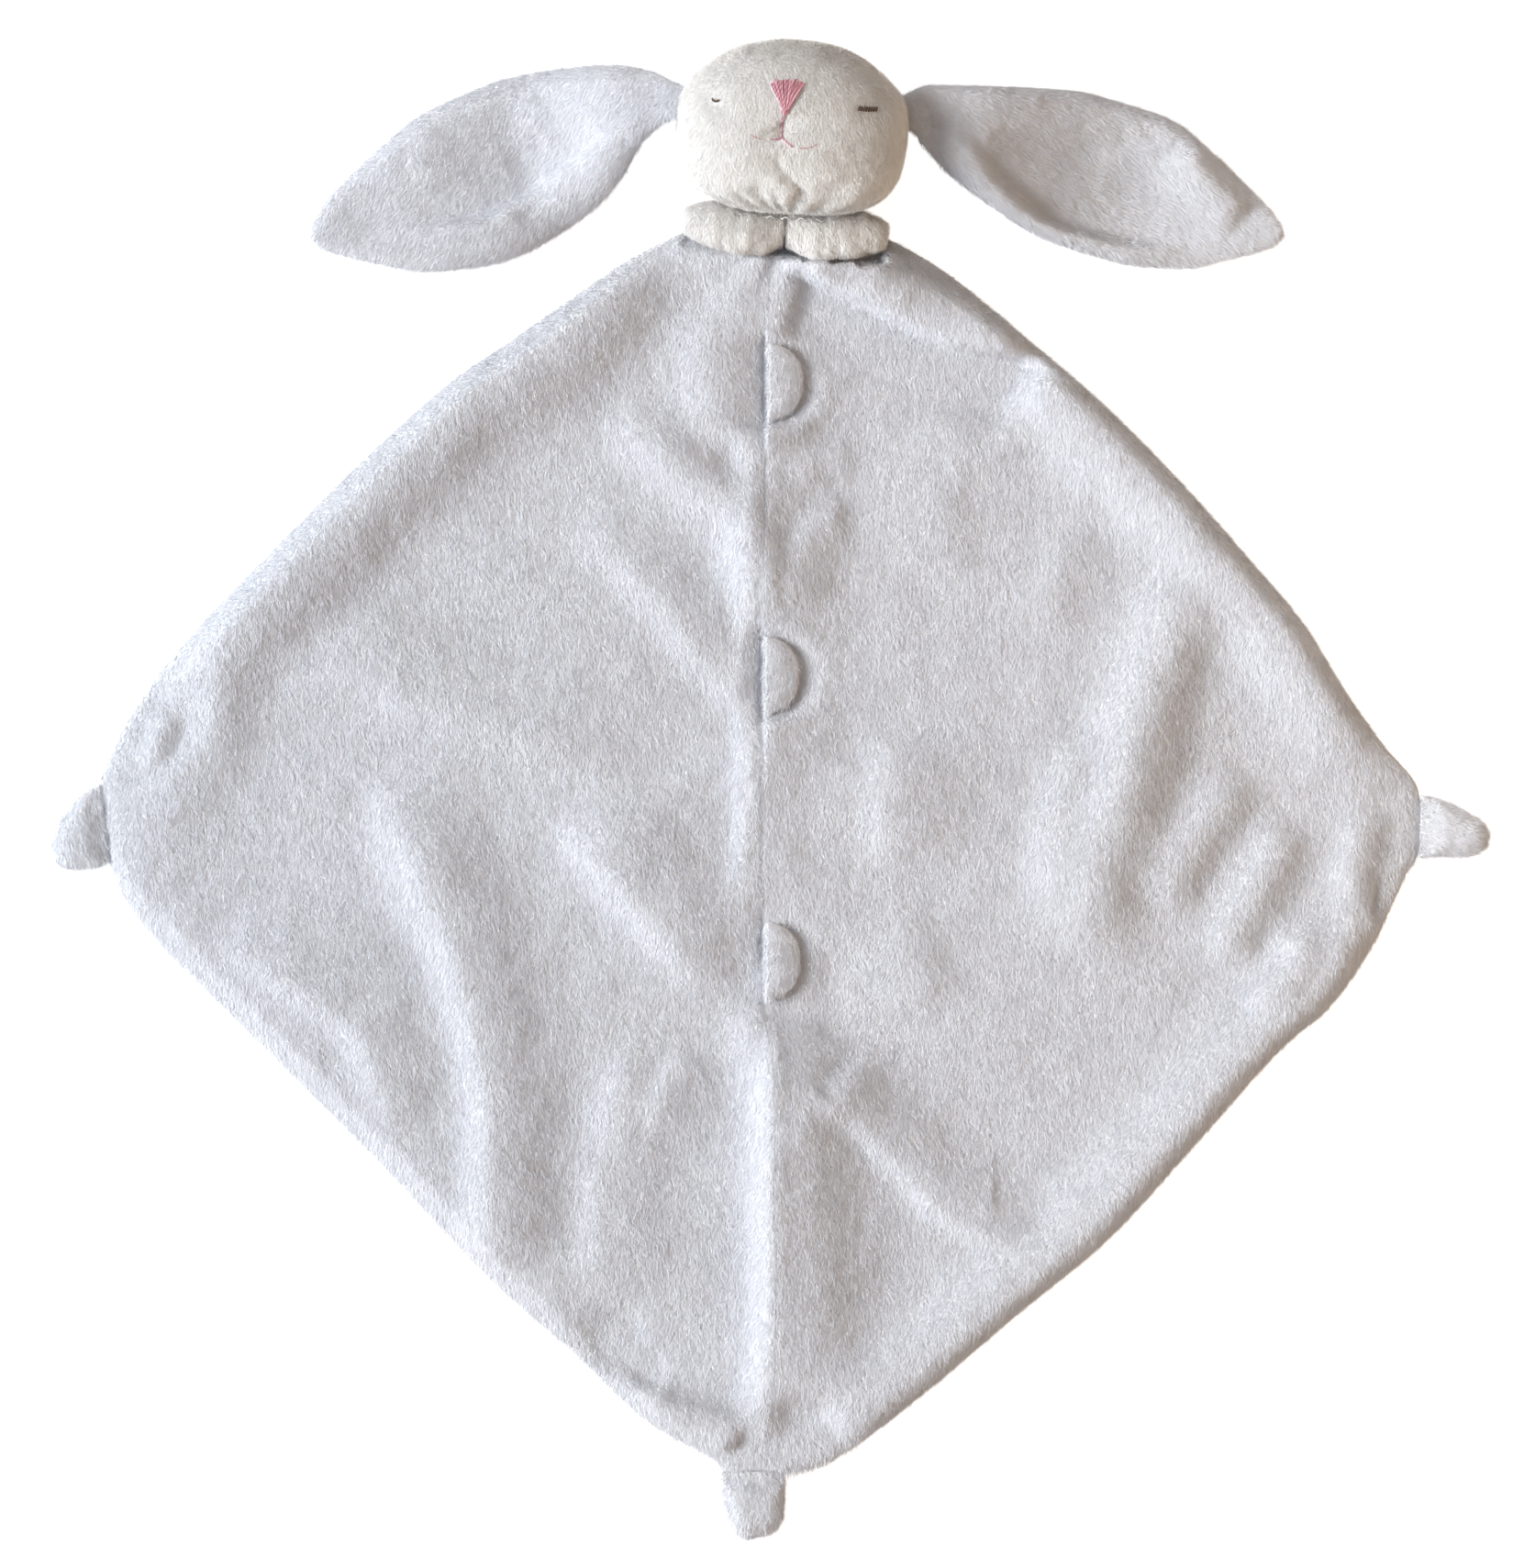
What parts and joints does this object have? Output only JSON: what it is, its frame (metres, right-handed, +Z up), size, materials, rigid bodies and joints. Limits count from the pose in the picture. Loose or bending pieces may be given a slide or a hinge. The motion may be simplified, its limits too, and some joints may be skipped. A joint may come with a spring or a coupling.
{
  "type": "comfort blanket lovey",
  "caption": "Flat plush comfort blanket with a stuffed bunny head at one corner, long soft ears, corner paws and half-moon tabs along its centre seam.",
  "frame": {"origin": "middle of the object's footprint, on the surface that it lies on", "axes": "+Z up from the surface, towards the side that the face and the tabs are on; +Y along the centre seam, towards the head; +X towards the ear on the viewer's right"},
  "size_m": [0.5198, 0.5413, 0.0608],
  "materials": {
    "plush": "short-pile white polyester plush",
    "filling": "loose white polyester fibre",
    "pink_thread": "pink embroidery thread",
    "brown_thread": "brown embroidery thread",
    "white_thread": "white sewing thread"
  },
  "bodies": {
    "blanket": {"blanket_back": "plush", "blanket_front_left": "plush", "blanket_front_right": "plush"},
    "head": {"face_left": "plush", "face_right": "plush", "head_back": "plush", "head_filling": "filling", "nose": "pink_thread", "nose_stem": "pink_thread", "mouth": "pink_thread", "eye_left": "brown_thread", "eye_right": "brown_thread", "collar_left": "plush", "collar_right": "plush", "neck_thread": "white_thread"},
    "ear_left": {"ear_left_front": "plush", "ear_left_back": "plush"},
    "ear_right": {"ear_right_front": "plush", "ear_right_back": "plush"},
    "paw_left": {"paw_left_front": "plush", "paw_left_back": "plush"},
    "paw_right": {"paw_right_front": "plush", "paw_right_back": "plush"},
    "paw_bottom": {"paw_bottom_front": "plush", "paw_bottom_back": "plush"},
    "tab_upper": {"tab_upper_outer": "plush", "tab_upper_inner": "plush"},
    "tab_middle": {"tab_middle_outer": "plush", "tab_middle_inner": "plush"},
    "tab_lower": {"tab_lower_outer": "plush", "tab_lower_inner": "plush"}
  },
  "joints": [
    {"name": "head_nod", "type": "hinge", "parent": "blanket", "child": "head", "pos_m": [0.006, 0.2005, 0.0113], "axis": [0.9976, -0.0698, 0], "range_deg": [0, 70]},
    {"name": "ear_left_flap", "type": "hinge", "parent": "head", "child": "ear_left", "pos_m": [-0.03517, 0.24759, 0.0295], "axis": [0.2554, 0.9668, 0], "range_deg": [0, 100]},
    {"name": "ear_right_flap", "type": "hinge", "parent": "head", "child": "ear_right", "pos_m": [0.05286, 0.24414, 0.0295], "axis": [0.2823, -0.9593, 0], "range_deg": [0, 100]},
    {"name": "paw_left_flap", "type": "hinge", "parent": "blanket", "child": "paw_left", "pos_m": [-0.23975, -0.0127, 0.007], "axis": [0, 1, 0], "range_deg": [0, 165]},
    {"name": "paw_right_flap", "type": "hinge", "parent": "blanket", "child": "paw_right", "pos_m": [0.23455, -0.0127, 0.007], "axis": [0, -1, 0], "range_deg": [0, 165]},
    {"name": "paw_bottom_flap", "type": "hinge", "parent": "blanket", "child": "paw_bottom", "pos_m": [-0.00556, -0.24615, 0.007], "axis": [-1, 0, 0], "range_deg": [0, 165]},
    {"name": "tab_upper_flap", "type": "hinge", "parent": "blanket", "child": "tab_upper", "pos_m": [-0.00085, 0.14658, 0.0091], "axis": [0, -1, 0], "range_deg": [0, 150]},
    {"name": "tab_middle_flap", "type": "hinge", "parent": "blanket", "child": "tab_middle", "pos_m": [-0.00221, 0.0411, 0.0091], "axis": [0, -1, 0], "range_deg": [0, 150]},
    {"name": "tab_lower_flap", "type": "hinge", "parent": "blanket", "child": "tab_lower", "pos_m": [-0.00178, -0.06159, 0.0091], "axis": [0, -1, 0], "range_deg": [0, 150]}
  ]
}
